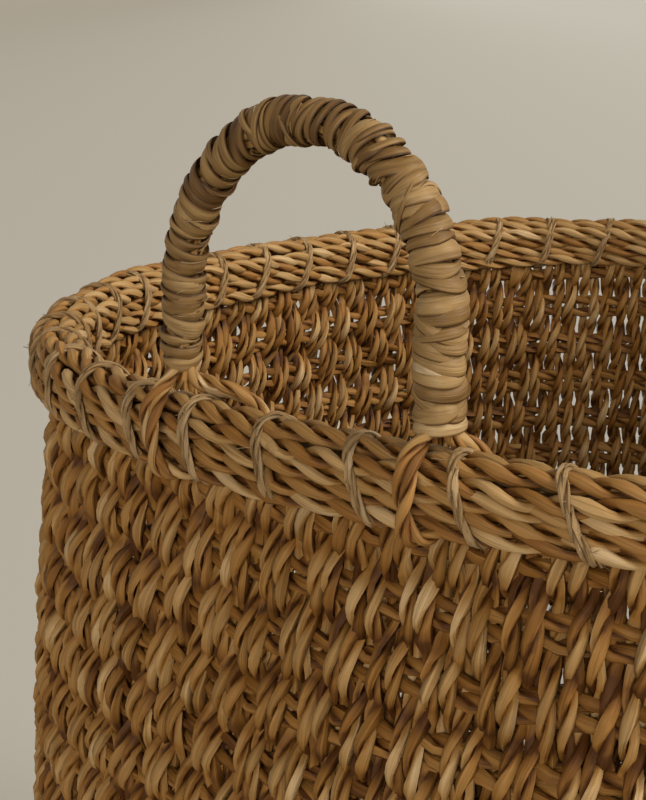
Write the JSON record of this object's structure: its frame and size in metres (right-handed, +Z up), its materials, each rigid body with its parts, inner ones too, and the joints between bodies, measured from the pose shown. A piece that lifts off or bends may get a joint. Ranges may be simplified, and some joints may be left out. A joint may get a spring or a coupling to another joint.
{
  "type": "laundry basket",
  "caption": "Tall rounded-square woven seagrass laundry basket with an open top, a rolled rim lashed with twine and a wrapped arch handle on each of two opposite sides.",
  "frame": {"origin": "centre of the foot on the floor", "axes": "+Z up, handles on the sides that face -Y (front) and +Y (back), plain sides face +X and -X"},
  "size_m": [0.4854, 0.4854, 0.5947],
  "materials": {
    "seagrass_weave": "satin",
    "seagrass_cord": "satin",
    "leaf_wrap": "satin",
    "jute_twine": "matte"
  },
  "bodies": {
    "basket": {"woven_wall": "seagrass_weave", "base_mat": "seagrass_weave", "base_hoop": "seagrass_cord", "rim_cord_outer_1": "seagrass_cord", "rim_cord_outer_2": "seagrass_cord", "rim_cord_outer_3": "seagrass_cord", "rim_cord_outer_4": "seagrass_cord", "rim_cord_top_outer": "seagrass_cord", "rim_cord_top_inner": "seagrass_cord", "rim_cord_inner_1": "seagrass_cord", "rim_cord_inner_2": "seagrass_cord", "rim_cord_inner_3": "seagrass_cord", "rim_cord_inner_4": "seagrass_cord", "rim_lashings": "jute_twine", "front_left_outer_tail": "seagrass_cord", "front_left_inner_tail": "seagrass_cord", "front_right_outer_tail": "seagrass_cord", "front_right_inner_tail": "seagrass_cord", "back_left_outer_tail": "seagrass_cord", "back_left_inner_tail": "seagrass_cord", "back_right_outer_tail": "seagrass_cord", "back_right_inner_tail": "seagrass_cord"},
    "front_handle": {"front_handle_core": "seagrass_cord", "front_handle_wrap": "leaf_wrap"},
    "back_handle": {"back_handle_core": "seagrass_cord", "back_handle_wrap": "leaf_wrap"}
  },
  "joints": [
    {"name": "front_handle_tilt", "type": "hinge", "parent": "basket", "child": "front_handle", "pos_m": [0, -0.22113, 0.507], "axis": [1, 0, 0], "range_deg": [-25, 25], "stiffness_Nm_per_rad": 0.6, "deforming": ["front_left_outer_tail", "front_left_inner_tail", "front_right_outer_tail", "front_right_inner_tail"]},
    {"name": "back_handle_tilt", "type": "hinge", "parent": "basket", "child": "back_handle", "pos_m": [0, 0.22113, 0.507], "axis": [-1, 0, 0], "range_deg": [-25, 25], "stiffness_Nm_per_rad": 0.6, "deforming": ["back_left_outer_tail", "back_left_inner_tail", "back_right_outer_tail", "back_right_inner_tail"]}
  ]
}
